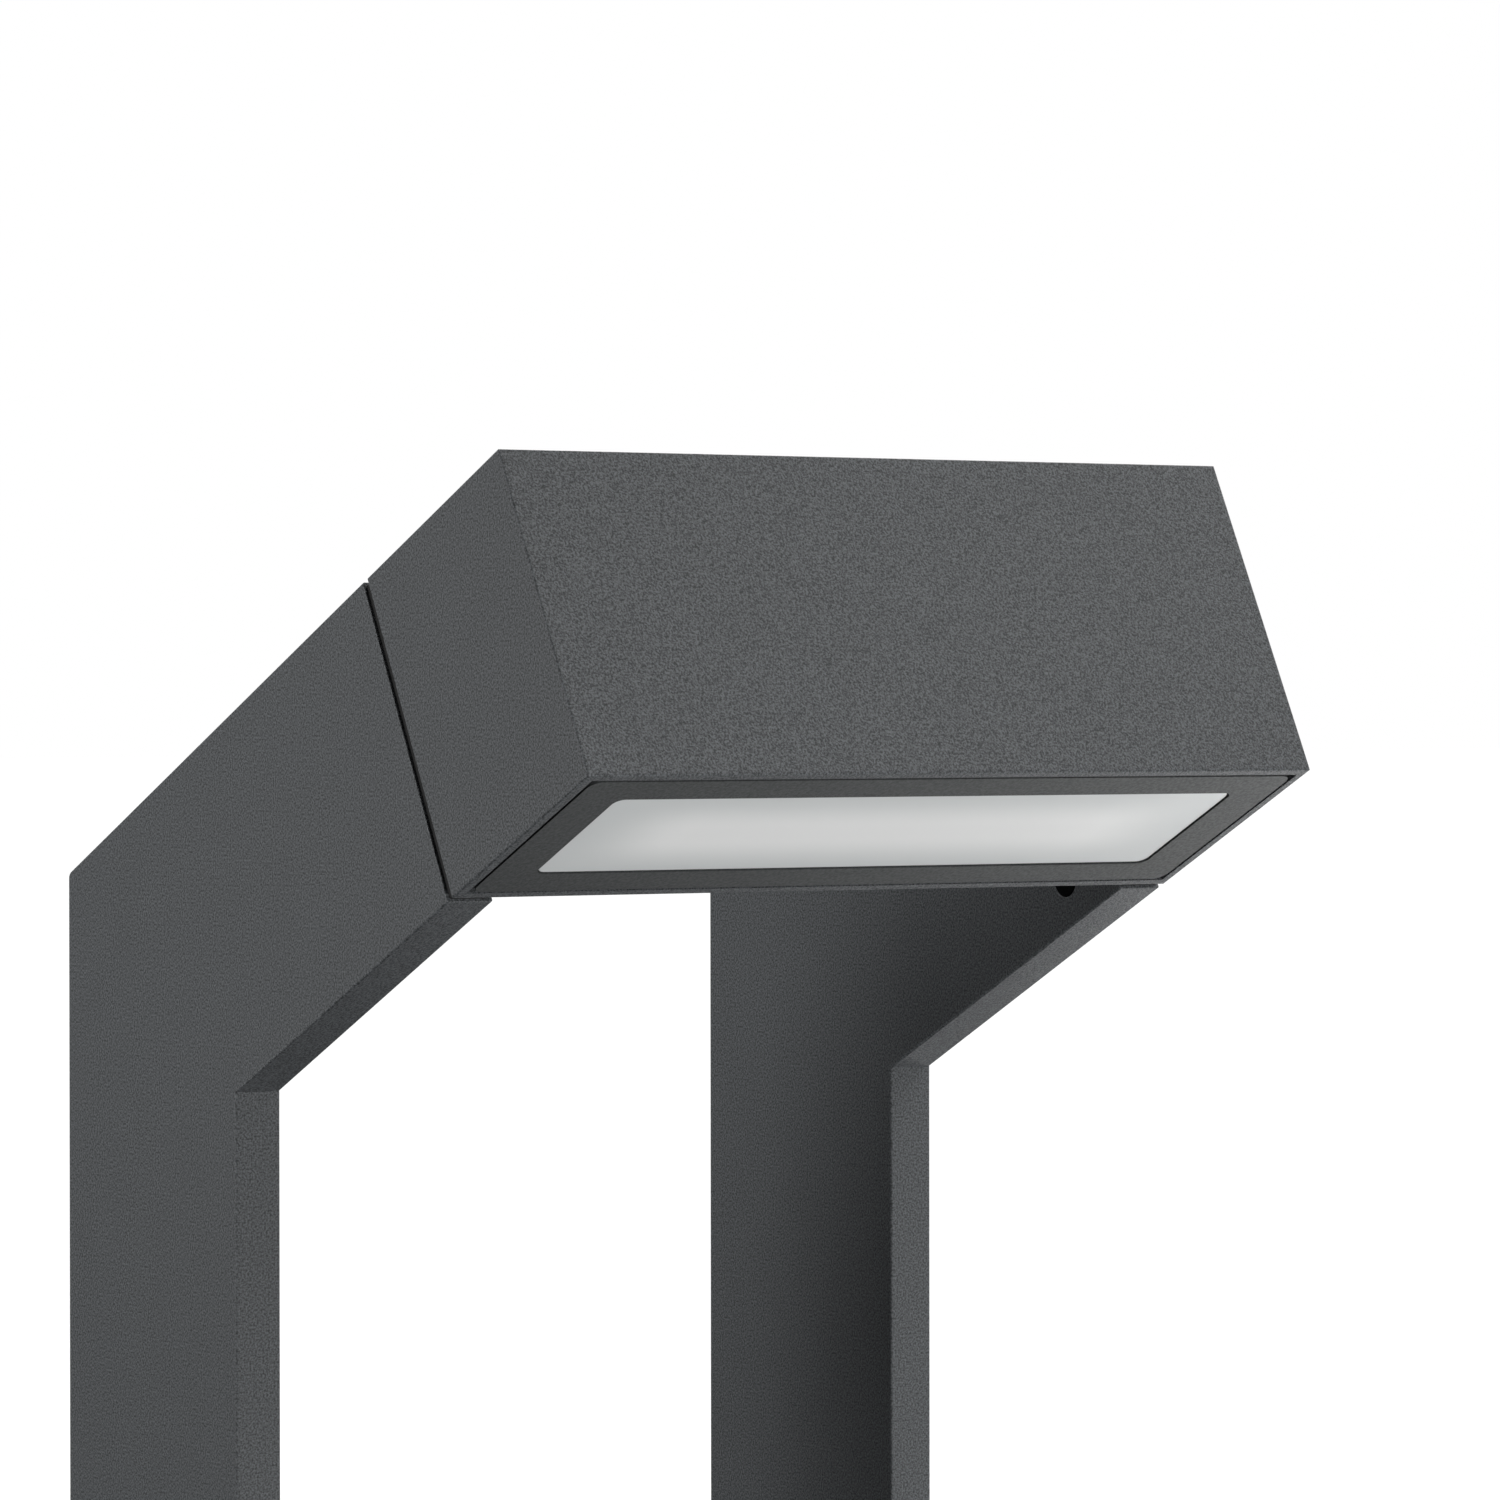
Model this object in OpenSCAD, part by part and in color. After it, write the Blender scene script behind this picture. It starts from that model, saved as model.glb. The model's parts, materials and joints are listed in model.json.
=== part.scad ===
// Low two-legged path light: a box head carried forward on two bent hollow legs over a flat foot.
// Origin: centre of the anchor holes, on the ground. +Z up, the head reaches out towards -Y.

/* [Overall] */
// Height from the ground to the highest edge of the head
light_h = 600; // [450:1:900]
// Width across the outer faces of the legs, the head and the foot
light_w = 200; // [166:1:260]

/* [Legs] */
// Depth of a leg from front to back, also the height of the head across the arm
leg_d = 80; // [66:1:100]
// Thickness of a leg
leg_t = 12; // [11:0.1:16]
// Wall of the leg profile
leg_wall = 2; // [1.5:0.25:2.25]
// Rise of the arm above the horizontal, in degrees
arm_tilt = 26.6; // [20:0.1:35]
// Length of the arm along its upper face, from the bend to the seam
arm_l = 153; // [125:1:220]
// Radius of the head's and the foot's outer edges
edge_r = 0.6; // [0.5:0.1:1.5]
// Radius of the head's rear edges, beside the seams
rear_edge_r = 0.3; // [0.2:0.1:0.5]
// Radius of the outer corner of the bend
bend_r = 2; // [1:0.5:4]

/* [Seams] */
// Gap between a leg's end and the part that it meets
seam_gap = 2; // [0.5:0.1:3]
// How far a seam gasket stays back from the outer faces
seam_inset = 0.8; // [0.5:0.1:1.2]

/* [Tenons and lock screws] */
// Width of a tenon along the leg's depth
tenon_w = 26; // [24:1:28]
// Length of a tenon inside the leg
tenon_l = 32; // [26:1:45]
// Clearance between a tenon and the leg's inner faces
tenon_gap = 0.2; // [0.1:0.05:0.3]
// Distance from a leg's narrow face to the axis of its tenon bolt
bolt_in = 20; // [18:0.5:21]
// Distance from a leg's narrow face to the axis of its lock screw
lock_in = 11.2; // [9:0.1:13]
// Distance from a leg's end to the axis of its lock screw
lock_up = 18.5; // [17:0.5:22]
// Nominal diameter of the tenon bolts
bolt_d = 5; // [4:1:5]
// Nominal diameter of the lock screws
lock_d = 4; // [3:0.5:4]

/* [Head] */
// Length of the head along the arm
head_l = 61.5; // [50:0.5:90]
// Side walls of the head housing
head_wall = 2.4; // [2.2:0.1:3]
// Closed upper wall of the head housing
head_top = 3; // [2:0.5:5]
// Ledge that the cover frame's gasket seals against: width and thickness
ledge_w = 3; // [2.5:0.5:4]
ledge_t = 4; // [3:0.5:5]

/* [Cover frame and diffuser] */
// Gap round the cover frame
frame_gap = 0.8; // [0.3:0.1:1]
// Thickness of the cover frame
frame_t = 8; // [7:0.5:9]
// Outer corner radius of the cover frame
frame_r = 3; // [2:0.5:5]
// Border from the frame's edge to the window at the short ends
border_end = 11.3; // [11:0.1:16]
// Border from the frame's edge to the window along the long sides
border_side = 8.7; // [8.5:0.1:12]
// Corner radius of the window
window_r = 2.5; // [1.5:0.5:5]
// Lip that carries the diffuser
lip_t = 2; // [1.5:0.5:3]
// How far the diffuser's face stays inside the frame's face
diffuser_recess = 0.3; // [0.2:0.1:1.2]
// Thickness of the diffuser's flange
flange_t = 3; // [2:0.5:4]
// How far the flange reaches past the window
flange_w = 2.7; // [2:0.1:3]

/* [Light engine] */
// Thickness of the carrier plate that spreads the heat
carrier_t = 3; // [2:0.5:5]
// Thickness of the LED board
board_t = 1.6; // [1:0.2:2]
// Width of the LED board
board_w = 26; // [20:1:30]
// Distance between LEDs
led_pitch = 9; // [7:0.5:15]
// Wall of the reflector
reflector_wall = 1.5; // [1:0.25:2]
// Driver case: length, width and height
driver_l = 100; // [80:1:110]
driver_w = 31; // [24:1:34]
driver_h = 22; // [18:1:24]

/* [Cable] */
// Outer diameter of the internal cable
cable_d = 6; // [5:0.5:6.5]
// Bend radius of the internal cable at both ends, and at the bend of the leg
cable_r = 18; // [15:1:20]
cable_bend_r = 30; // [24:1:34]

/* [Foot] */
// Depth of the foot from front to back
foot_d = 140; // [120:1:200]
// Height of the foot
foot_h = 36; // [36:1:60]
// Side walls of the foot housing
foot_wall = 3; // [2.5:0.5:3.5]
// Upper wall of the foot housing
foot_top = 4; // [3:0.5:5]
// Radius of the foot's upright edges
foot_r = 3; // [2:0.5:8]
// Rear face of the legs ahead of the foot's rear face
leg_setback = 5; // [4:1:20]

/* [Mounting plate] */
// Thickness of the mounting plate
plate_t = 4; // [3:0.5:6]
// Anchor hole spacing across and from front to back
anchor_x = 150; // [110:1:200]
anchor_y = 100; // [80:1:150]
// Diameter of the anchor holes
anchor_d = 9; // [7:0.5:11]
// Place of the supply cable hole, ahead of the anchor centre
supply_y = -30; // [-36:1:-28]
// Diameter of the supply cable that the grommet takes
supply_d = 9; // [7:0.5:10]
// Upturned tab for the foot screws: width, height and thickness
tab_w = 20; // [14:1:30]
tab_h = 20; // [16:1:24]
tab_t = 3; // [2.5:0.5:4]

/* [Junction box] */
// Size of the box without its lid
jbox_w = 70; // [60:1:80]
jbox_d = 40; // [38:1:50]
jbox_h = 20; // [19:1:22]
// Wall of the box
jbox_wall = 2; // [1.5:0.5:2.5]
// Height of the cable glands above the ground
gland_z = 14; // [13:0.5:15]

/* [Hidden] */
$fn = 48;
eps = 0.01;
far = 1000;
thread_gap = 0.05;   // between a screw's thread and its tapped hole
slip_gap = 0.3;      // between a screw or plug and a plain hole

// bolt and screw heads
bolt_head_d = 8.5;
bolt_head_h = 5;
bolt_relief = 0.5;   // room round a bolt head
lock_head_d = 8.4;
lock_len = 8;
m3_head_d = 5.5;
m3_head_h = 2;
m4_head_d = 7;
m4_head_h = 2.6;

// the bend of the legs
mitre = (90 - arm_tilt) / 2;
bend_z = light_h - (arm_l + seam_gap + head_l) * sin(arm_tilt);
leg_x = light_w / 2 - leg_t / 2;
leg_rear_y = foot_d / 2 - leg_setback;
leg_front_y = leg_rear_y - leg_d;
leg_mid_y = leg_rear_y - leg_d / 2;
leg_bottom = foot_h + seam_gap;

// tenons and their bolts
tenon_t = leg_t - 2 * leg_wall - 2 * tenon_gap;
tenon_in = leg_wall + tenon_gap;
bolt_grip = 11;      // bolt beyond its wall, across the seam and into the tenon
bore_l = 14;         // tapped hole for it
head_boss = 6;       // rear wall of the head where the bolts bear
boss_w = 11;

// inside of the head
head_half = light_w / 2 - head_wall;
head_mid_y = -head_l / 2;
head_in_l = head_l - 2 * head_wall;

// cover frame, from the underside up
frame_w = light_w - 2 * head_wall - 2 * frame_gap;
frame_l = head_l - 2 * head_wall - 2 * frame_gap;
window_w = frame_w - 2 * border_end;
window_l = frame_l - 2 * border_side;
pocket_gap = 0.3;
pocket_w = window_w + 2 * flange_w + 2 * pocket_gap;
pocket_l = window_l + 2 * flange_w + 2 * pocket_gap;
seal_t = 0.5;
flange_z = lip_t + seal_t;
flange_top = flange_z + flange_t;
frame_seal_t = 2;
frame_seal_w = 2.5;
seal_back = 0.2;
frame_play = 0.2;     // between the tongues and their slots
ledge_z = frame_t + frame_seal_t;
tongue_w = 12;
tongue_t = 2;
tongue_l = 1.1;
tongue_room = 0.4;    // deeper than the tongue reaches
frame_screw_x = light_w / 2 - 40;
frame_screw_len = 6;
clip_t = 1;
clip_l = 20;
clip_out = 4.2;       // clip screw beyond the pocket's edge
clip_reach = 3.4;     // clip over the diffuser's flange
clip_screw_pitch = 12;
clip_screw_len = 5;

// light engine, hung from the height of the cable inlet
driver_inlet_h = 13.4;
driver_z = leg_d / 2 - driver_inlet_h;
carrier_z = driver_z - carrier_t;
board_z = carrier_z - board_t;
carrier_w = light_w - 2 * (leg_t + 0.5);
carrier_l = head_in_l - 2 * ledge_w - 1;
board_l = window_w - 10;
post_screw_in = 9.3;
led_w = 2.8;
led_l = 3.5;
led_t = 0.8;
led_count = floor((board_l - 20) / led_pitch);
reflector_w = window_w - 4;
reflector_l = window_l - 2;
reflector_top_t = 1.5;
reflector_r = 9;
reflector_bottom = flange_top + 1;
slot_w = 8;
board_screw_x = board_l / 2 - 4;
board_screw_y = min(board_w * 0.35, reflector_l / 2 - reflector_wall - 3.6);
board_screw_len = 6;
post_x = head_half - 15.3;
post_w = 10;
post_l = 14;
post_h = 10;
post_roof = 1.5;      // solid above the post's tapped hole
carrier_screw_len = 10;
ear_l = 8;
ear_w = 11;
ear_t = 2.4;
driver_screw_len = 5;
lead_d = 1.8;
lead_r = 5;
lead_pitch = 6;
lead_out = 7;
lead_hole_d = 11;
earth_x = 66;         // from the driver's middle, beside its inlet end
earth_y = 10;         // from the driver's middle, towards the front
lug_t = 0.8;
lug_d = 8;
barrel_d = 3.4;

// internal cable
cable_shift = 0.5;    // towards the middle, clear of the housings' side walls
cable_x = -(leg_x - cable_shift);
cable_hole_d = cable_d + 0.8;

// foot
plate_gap = 1;
plate_w = light_w - 2 * foot_wall - 2 * plate_gap;
plate_d = foot_d - 2 * foot_wall - 2 * plate_gap;
plate_r = 4;
tab_y = foot_d / 2 - 25;
tab_screw_z = 12;
tab_screw_len = 9;
drain_w = 10;
drain_h = 4;
grommet_flange = 3;
grommet_t = 2;
grommet_wall = 2;

// junction box, its glands and its terminals
jbox_x = 15;
jbox_r = 3;
jbox_floor = 2;
jbox_post = 6;
jbox_lid_t = 2.4;
jbox_seal_t = 1;
lid_screw_len = 10;
jbox_ear = 9;
jbox_ear_t = 3;
jbox_screw_len = 6;
inlet_x = 0;
gland_thread_d = 12;
gland_hex_d = 15;
gland_hex_t = 4;
gland_nut_l = 7;
gland_nut_d = 13;
gland_inner_l = 6;
locknut_t = 2.5;
terminal_w = 22;
terminal_d = 24;
terminal_h = 14;
terminal_x = jbox_x - 6;   // face that the outgoing cores enter
pole_z = gland_z - plate_t - jbox_floor;
pole_pitch = 7;
pole_d = 3;
core_d = 1.9;
core_in = 3;          // core inside its terminal
jacket_in = 3;        // cable's outer jacket past the gland
core_pitch = 2;       // cores side by side inside the jacket
jacket_end = jbox_x - jbox_w / 2 + jbox_wall + gland_inner_l + jacket_in;

// ---------- shared shapes ----------

// Rectangle with round corners, centred
module rounded_rect(w, d, r) {
    square([w - 2 * r, d], center = true);
    square([w, d - 2 * r], center = true);
    for (x = [-1, 1], y = [-1, 1])
        translate([x * (w / 2 - r), y * (d / 2 - r)]) circle(r);
}

// Flat plate with round corners, its lower face at z = 0
module plate(w, d, t, r) {
    linear_extrude(t) rounded_rect(w, d, r);
}

// Flat ring between two rounded rectangles
module ring(w, d, t, r, rim) {
    difference() {
        plate(w, d, t, r);
        translate([0, 0, -eps]) plate(w - 2 * rim, d - 2 * rim, t + 2 * eps, max(r - rim, 0.5));
    }
}

// Block with all its edges rounded, centred in x and y, its lower face at z = 0
module rounded_block(w, d, h, r, upright_r) {
    intersection() {
        plate(w, d, h, upright_r);
        translate([0, d / 2, h / 2]) rotate([90, 0, 0]) linear_extrude(d) rounded_rect(w, h, r);
        translate([-w / 2, 0, h / 2]) rotate([90, 0, 90]) linear_extrude(w) rounded_rect(d, h, r);
    }
}

// The same with a smaller radius round its rear face, at the +y side
module head_block(w, d, h, r, rear_r) {
    intersection() {
        linear_extrude(h) rear_square_rect(w, d, r, rear_r);
        translate([-w / 2, 0, h / 2]) rotate([90, 0, 90]) linear_extrude(w)
            rotate(-90) rear_square_rect(h, d, r, rear_r);
        translate([0, d / 2, h / 2]) rotate([90, 0, 0]) linear_extrude(d) rounded_rect(w, h, r);
    }
}

// Rectangle with round corners, those at its +y side of another radius
module rear_square_rect(w, d, r, rear_r) {
    rounded_rect(w, d, r);
    translate([0, d / 4]) rounded_rect(w, d / 2, rear_r);
}

// Hole or rod along z
module rod(d, len) {
    cylinder(d = d, h = len);
}

// Screw with a round head above z = 0, its shank down to -len, with a hexagon socket
module pan_screw(d, head_d, head_h, len) {
    difference() {
        union() {
            rod(head_d, head_h);
            translate([0, 0, -len]) rod(d, len + eps);
        }
        translate([0, 0, head_h * 0.4]) cylinder(d = d * 0.75, h = head_h, $fn = 6);
    }
}

// Countersunk screw, its flat top at z = 0, with a hexagon socket
module csk_screw(d, head_d, len) {
    cone_h = (head_d - d) / 2;
    difference() {
        union() {
            translate([0, 0, -cone_h]) cylinder(d1 = d, d2 = head_d, h = cone_h);
            translate([0, 0, -len]) rod(d, len - cone_h + eps);
        }
        translate([0, 0, -cone_h * 0.7]) cylinder(d = d * 0.7, h = cone_h, $fn = 6);
    }
}

// Hole for a countersunk screw, entered from z = 0 downwards
module csk_hole(d, head_d, len) {
    hole_d = d + 2 * slip_gap;
    mouth_d = head_d + 2 * slip_gap;
    cone_h = (mouth_d - hole_d) / 2;
    translate([0, 0, -cone_h]) cylinder(d1 = hole_d, d2 = mouth_d, h = cone_h);
    translate([0, 0, -eps]) rod(mouth_d, 1);
    translate([0, 0, -len]) rod(hole_d, len);
}

function unit(v) = v / norm(v);

// Direction of a path at each of its points
function directions(path) =
    let (n = len(path), leg = [for (i = [0:n - 2]) unit(path[i + 1] - path[i])])
    [for (i = [0:n - 1]) unit(leg[max(i - 1, 0)] + leg[min(i, n - 2)])];

// Side vectors carried along a path without twisting
function carried(dirs, side, i = 0, out = []) =
    i == len(dirs) ? out
    : let (s = unit(side - (side * dirs[i]) * dirs[i])) carried(dirs, s, i + 1, concat(out, [s]));

// Round tube swept along a path
module tube(path, d, sides) {
    dirs = directions(path);
    across = carried(dirs, unit(cross(dirs[0], [0.3, 0.9, 0.2])));
    n = len(path);
    points = [
        for (i = [0:n - 1], k = [0:sides - 1])
            let (a = 360 * k / sides)
            path[i] + d / 2 * (cos(a) * across[i] + sin(a) * cross(dirs[i], across[i]))
    ];
    walls = [
        for (i = [0:n - 2], k = [0:sides - 1])
            let (next = (k + 1) % sides)
            [i * sides + k, (i + 1) * sides + k, (i + 1) * sides + next, i * sides + next]
    ];
    ends = [[for (k = [0:sides - 1]) k], [for (k = [sides - 1:-1:0]) (n - 1) * sides + k]];
    polyhedron(points, concat(walls, ends), convexity = 8);
}

// ---------- places ----------

// At the bend's outer corner: y runs back down along the arm, z out of its upper face
module at_bend() {
    translate([0, leg_rear_y, bend_z]) rotate([-arm_tilt, 0, 0]) children();
}

// At the head's rear lower edge: -y along the head, z up through it
module in_head() {
    at_bend() translate([0, -(arm_l + seam_gap), -leg_d]) children();
}

// At a leg's end on the housing's face: z into the leg, y inwards from one narrow face, x outwards
module at_head_end(side, top) {
    in_head() translate([side * leg_x, 0, top ? leg_d : 0]) rotate([-90, 0, 0])
        mirror([0, top ? 0 : 1, 0]) mirror([side < 0 ? 1 : 0, 0, 0]) children();
}

module at_foot_end(side, rear) {
    translate([side * leg_x, rear ? leg_rear_y : leg_front_y, foot_h])
        mirror([0, rear ? 1 : 0, 0]) mirror([side < 0 ? 1 : 0, 0, 0]) children();
}

// The same, at every leg end of the head or of the foot
module at_head_ends() {
    for (side = [-1, 1], top = [false, true]) at_head_end(side, top) children();
}

module at_foot_ends() {
    for (side = [-1, 1], rear = [false, true]) at_foot_end(side, rear) children();
}

// ---------- legs ----------

// Point of the arm's frame, seen from the side, as [y, z] of the whole light
function arm_point(y, z) =
    [leg_rear_y + y * cos(arm_tilt) + z * sin(arm_tilt), bend_z - y * sin(arm_tilt) + z * cos(arm_tilt)];

// Side outline of a leg, drawn in by inset and run past both ends, its outer corner rounded by r
module bent_outline(inset, past, r) {
    turn = 90 - arm_tilt;
    rear_y = leg_rear_y - inset;
    front_y = leg_front_y + inset;
    polygon(concat(
        [[rear_y, leg_bottom - past], [front_y, leg_bottom - past]],
        [[front_y, bend_z - (leg_d - inset) * tan(mitre)]],
        [arm_point(-arm_l - past, inset - leg_d), arm_point(-arm_l - past, -inset)],
        [for (i = [6:-1:0])
            [rear_y - r + r * cos(turn * i / 6), bend_z - (inset + r) * tan(mitre) + r * sin(turn * i / 6)]]
    ));
}

module bent_bar(inset, past, r) {
    width = leg_t - 2 * inset;
    translate([-width / 2, 0, 0]) rotate([90, 0, 90]) linear_extrude(width) bent_outline(inset, past, r);
}

module leg(side) {
    difference() {
        translate([side * leg_x, 0, 0]) difference() {
            bent_bar(0, 0, bend_r);
            bent_bar(leg_wall, 1, 0.5);
        }
        for (top = [false, true]) at_head_end(side, top) lock_axis()
            csk_hole(lock_d, lock_head_d, leg_wall + 1);
        for (rear = [false, true]) at_foot_end(side, rear) lock_axis()
            csk_hole(lock_d, lock_head_d, leg_wall + 1);
    }
}

module left_leg() {
    color("#4b4d4f") leg(-1);
}

module right_leg() {
    color("#4b4d4f") leg(1);
}

// ---------- tenons, bolts and lock screws at the leg ends ----------

// On the leg's inner face, at the lock screw: z out of the face
module lock_axis() {
    translate([-leg_t / 2, lock_in, seam_gap + lock_up]) rotate([0, -90, 0]) children();
}

module tenon() {
    color("#b9bcc0") difference() {
        translate([-tenon_t / 2, tenon_in, 0]) cube([tenon_t, tenon_w, tenon_l + seam_gap]);
        translate([0, bolt_in, -eps]) rod(bolt_d + 2 * thread_gap, bore_l);
        lock_axis() translate([0, 0, -leg_t]) rod(lock_d + 2 * thread_gap, leg_t);
    }
}

module head_tenon_left_top() { at_head_end(-1, true) tenon(); }
module head_tenon_left_bottom() { at_head_end(-1, false) tenon(); }
module head_tenon_right_top() { at_head_end(1, true) tenon(); }
module head_tenon_right_bottom() { at_head_end(1, false) tenon(); }
module foot_tenon_left_front() { at_foot_end(-1, false) tenon(); }
module foot_tenon_left_rear() { at_foot_end(-1, true) tenon(); }
module foot_tenon_right_front() { at_foot_end(1, false) tenon(); }
module foot_tenon_right_rear() { at_foot_end(1, true) tenon(); }

// Bolt up through a wall of this thickness into a tenon
module tenon_bolt(wall) {
    color("#9a9c9e") translate([0, bolt_in, -wall]) mirror([0, 0, 1])
        pan_screw(bolt_d, bolt_head_d, bolt_head_h, wall + bolt_grip);
}

// Hole for the bolt, and room for its head beside the side wall
module tenon_bolt_hole(wall) {
    translate([0, bolt_in, -wall - eps]) rod(bolt_d + 2 * slip_gap, wall + 1);
    translate([0, bolt_in, -wall - 2 * bolt_head_h]) rod(bolt_head_d + 2 * bolt_relief, 2 * bolt_head_h);
}

module head_tenon_bolts() { at_head_ends() tenon_bolt(head_boss); }
module foot_tenon_bolts() { at_foot_ends() tenon_bolt(foot_top); }

module lock_screw() {
    color("#1c1c1d") lock_axis() csk_screw(lock_d, lock_head_d, lock_len);
}

module head_lock_screws() { at_head_ends() lock_screw(); }
module foot_lock_screws() { at_foot_ends() lock_screw(); }

// Plate gasket between a leg's end and its housing
module seam_gasket(with_cable) {
    color("#161616") difference() {
        translate([0, leg_d / 2, 0]) plate(leg_t - 2 * seam_inset, leg_d - 2 * seam_inset, seam_gap, 0.6);
        for (y = [tenon_in, leg_d - tenon_in - tenon_w])
            translate([-tenon_t / 2 - tenon_gap, y - tenon_gap, -eps])
                cube([tenon_t + 2 * tenon_gap, tenon_w + 2 * tenon_gap, seam_gap + 2 * eps]);
        if (with_cable) translate([-cable_shift, leg_d / 2, -eps])
            rod(cable_d + 2 * thread_gap, seam_gap + 2 * eps);
    }
}

module head_seam_gasket_left() { at_head_end(-1, false) seam_gasket(true); }
module head_seam_gasket_right() { at_head_end(1, false) seam_gasket(false); }
module foot_seam_gasket_left() { at_foot_end(-1, false) seam_gasket(true); }
module foot_seam_gasket_right() { at_foot_end(1, false) seam_gasket(false); }

// ---------- head housing and cover frame ----------

// One frame screw's place on the head's rear face: z out of the face
module at_frame_screws() {
    for (x = [-frame_screw_x, frame_screw_x])
        translate([x, 0, frame_t / 2]) rotate([-90, 0, 0]) children();
}

module at_posts() {
    for (x = [-post_x, post_x], y = [-head_wall - post_screw_in, -head_l + head_wall + post_screw_in])
        translate([x, y, driver_z]) children();
}

module head_housing() {
    color("#4d5051") in_head() difference() {
        union() {
            difference() {
                translate([0, head_mid_y, 0]) head_block(light_w, head_l, leg_d, edge_r, rear_edge_r);
                translate([-head_half, -head_l + head_wall, -eps])
                    cube([2 * head_half, head_in_l, leg_d - head_top]);
            }
            // ledge for the cover frame's gasket
            translate([0, head_mid_y, ledge_z]) difference() {
                translate([-head_half - 1, -head_in_l / 2 - 1, 0])
                    cube([2 * head_half + 2, head_in_l + 2, ledge_t]);
                translate([-head_half + ledge_w, -head_in_l / 2 + ledge_w, -1])
                    cube([2 * (head_half - ledge_w), head_in_l - 2 * ledge_w, ledge_t + 2]);
            }
            // bosses under the tenon bolts
            for (x = [-1, 1], z = [bolt_in, leg_d - bolt_in])
                translate([x * (head_half - boss_w / 2 + 0.5) - boss_w / 2, -head_boss, z - boss_w / 2])
                    cube([boss_w, head_boss - 1, boss_w]);
            // posts that the carrier is screwed up to
            for (x = [-post_x, post_x], y = [-head_wall - post_l, -head_l + head_wall - 1])
                translate([x - post_w / 2, y, driver_z]) cube([post_w, post_l + 1, post_h]);
        }
        for (side = [-1, 1], z = [bolt_in, leg_d - bolt_in])
            translate([side * leg_x, 0, z]) rotate([-90, 0, 0]) translate([0, -bolt_in, 0])
                tenon_bolt_hole(head_boss);
        translate([cable_x, -head_wall - 1, leg_d / 2]) rotate([-90, 0, 0]) rod(cable_hole_d, head_wall + 2);
        at_frame_screws() csk_hole(3, m3_head_d, head_wall + 1);
        at_posts() translate([0, 0, -eps]) rod(4 + 2 * thread_gap, post_h - post_roof);
        for (x = [-frame_screw_x, frame_screw_x])
            translate([
                x - tongue_w / 2 - slip_gap,
                -head_l + head_wall - tongue_l - tongue_room,
                frame_t / 2 - tongue_t / 2 - frame_play
            ]) cube([tongue_w + 2 * slip_gap, tongue_l + 2 * tongue_room, tongue_t + 2 * frame_play]);
    }
}

module cover_frame() {
    color("#47494a") in_head() difference() {
        union() {
            translate([0, head_mid_y, 0]) plate(frame_w, frame_l, frame_t, frame_r);
            for (x = [-frame_screw_x, frame_screw_x])
                translate([x - tongue_w / 2, -head_l + head_wall - tongue_l, frame_t / 2 - tongue_t / 2])
                    cube([tongue_w, tongue_l + frame_gap + 1, tongue_t]);
        }
        translate([0, head_mid_y, -eps]) plate(window_w, window_l, lip_t + 2 * eps, window_r);
        translate([0, head_mid_y, lip_t]) plate(pocket_w, pocket_l, frame_t, window_r + flange_w);
        at_frame_screws() translate([0, 0, -frame_screw_len - 1]) rod(3 + 2 * thread_gap, frame_screw_len);
        at_clip_screws() translate([0, 0, -clip_screw_len - 1]) rod(3 + 2 * thread_gap, clip_screw_len + 2);
    }
}

module frame_gasket() {
    color("#1a1a1a") in_head() translate([0, head_mid_y, frame_t])
        ring(frame_w - 2 * seal_back, frame_l - 2 * seal_back, frame_seal_t, frame_r, frame_seal_w);
}

module frame_screws() {
    color("#8f9193") in_head() at_frame_screws() csk_screw(3, m3_head_d, frame_screw_len);
}

// ---------- diffuser ----------

module diffuser() {
    color("#d5dad9") in_head() translate([0, head_mid_y, 0]) {
        translate([0, 0, diffuser_recess])
            plate(
                window_w - 2 * pocket_gap, window_l - 2 * pocket_gap,
                flange_z - diffuser_recess + 0.5, window_r
            );
        translate([0, 0, flange_z])
            plate(window_w + 2 * flange_w, window_l + 2 * flange_w, flange_t, window_r + flange_w);
    }
}

module diffuser_gasket() {
    color("#e8e8e4") in_head() translate([0, head_mid_y, lip_t])
        ring(window_w + 2 * flange_w, window_l + 2 * flange_w, seal_t, window_r + flange_w, flange_w - 0.2);
}

// Places of the clip screws on the frame's upper face
module at_clip_screws() {
    for (side = [-1, 1]) at_clip_pair(side) children();
}

module at_clip_pair(side) {
    for (y = [-1, 1])
        translate([
            side * (pocket_w / 2 + clip_out / 2 + 0.4),
            head_mid_y + y * clip_screw_pitch / 2,
            frame_t
        ]) children();
}

module diffuser_clip(side) {
    foot_t = clip_reach - 0.7;
    color("#c9cbcd") in_head() difference() {
        translate([side * pocket_w / 2, head_mid_y - clip_l / 2, 0]) mirror([side < 0 ? 1 : 0, 0, 0]) {
            translate([-clip_reach, 0, frame_t]) cube([clip_reach + clip_out + 1, clip_l, clip_t]);
            translate([-clip_reach, 0, flange_top]) cube([foot_t, clip_l, frame_t - flange_top + clip_t]);
        }
        at_clip_pair(side) translate([0, 0, -1]) rod(3 + 2 * slip_gap, clip_t + 2);
    }
}

module diffuser_clip_left() { diffuser_clip(-1); }
module diffuser_clip_right() { diffuser_clip(1); }

module clip_screws() {
    color("#9a9c9e") in_head() at_clip_screws() translate([0, 0, clip_t])
        pan_screw(3, 5, 1.6, clip_screw_len);
}

// ---------- light engine ----------

module at_board_screws() {
    for (x = [-board_screw_x, board_screw_x], y = [-board_screw_y, board_screw_y])
        translate([x, head_mid_y + y, board_z]) children();
}

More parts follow.
